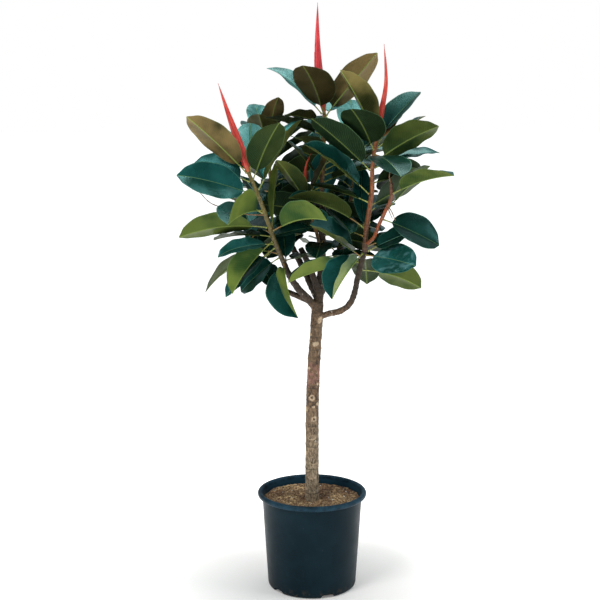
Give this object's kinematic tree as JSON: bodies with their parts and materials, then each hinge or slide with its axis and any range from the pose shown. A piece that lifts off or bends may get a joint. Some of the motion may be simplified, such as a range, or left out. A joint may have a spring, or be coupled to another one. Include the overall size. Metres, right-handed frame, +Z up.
{
  "type": "potted rubber plant",
  "caption": "Rubber plant with large glossy folded leaves and red bud sheaths on a bare trunk, standing in a round dark plastic nursery pot.",
  "frame": {"origin": "centre of the pot's flat underside, on the ground", "axes": "+Z up along the trunk; the plant's best side faces -Y; +X to the right of a person who looks at that side"},
  "size_m": [0.7874, 0.6866, 1.7901],
  "materials": {
    "pot": "satin",
    "soil": "rough",
    "bark": "rough",
    "young_bark": "satin",
    "sheath": "satin",
    "leaf": "glossy"
  },
  "bodies": {
    "root": {"back_left_leaf_1": "leaf", "back_left_leaf_2": "leaf", "back_left_leaf_3": "leaf", "back_left_shoot": "young_bark", "back_right_leaf_1": "leaf", "back_right_leaf_2": "leaf", "back_right_shoot": "young_bark", "left_leaf_1": "leaf", "left_leaf_10": "leaf", "left_leaf_11": "leaf", "left_leaf_12": "leaf", "left_leaf_13": "leaf", "left_leaf_14": "leaf", "left_leaf_15": "leaf", "left_leaf_2": "leaf", "left_leaf_3": "leaf", "left_leaf_4": "leaf", "left_leaf_5": "leaf", "left_leaf_6": "leaf", "left_leaf_7": "leaf", "left_leaf_8": "leaf", "left_leaf_9": "leaf", "left_sheath": "sheath", "left_shoot": "young_bark", "low_right_leaf_1": "leaf", "low_right_leaf_2": "leaf", "low_right_leaf_3": "leaf", "middle_leaf_1": "leaf", "middle_leaf_2": "leaf", "middle_leaf_3": "leaf", "middle_leaf_4": "leaf", "middle_leaf_5": "leaf", "middle_leaf_6": "leaf", "middle_leaf_7": "leaf", "middle_sheath": "sheath", "middle_shoot": "young_bark", "pot": "pot", "right_leaf_1": "leaf", "right_leaf_10": "leaf", "right_leaf_11": "leaf", "right_leaf_2": "leaf", "right_leaf_3": "leaf", "right_leaf_4": "leaf", "right_leaf_5": "leaf", "right_leaf_6": "leaf", "right_leaf_7": "leaf", "right_leaf_8": "leaf", "right_leaf_9": "leaf", "right_sheath": "sheath", "right_shoot": "young_bark", "side_shoot": "young_bark", "soil": "soil", "top_leaf_1": "leaf", "top_leaf_2": "leaf", "top_leaf_3": "leaf", "top_leaf_4": "leaf", "top_leaf_5": "leaf", "top_sheath": "sheath", "top_shoot": "young_bark", "trunk": "bark"}
  },
  "joints": []
}
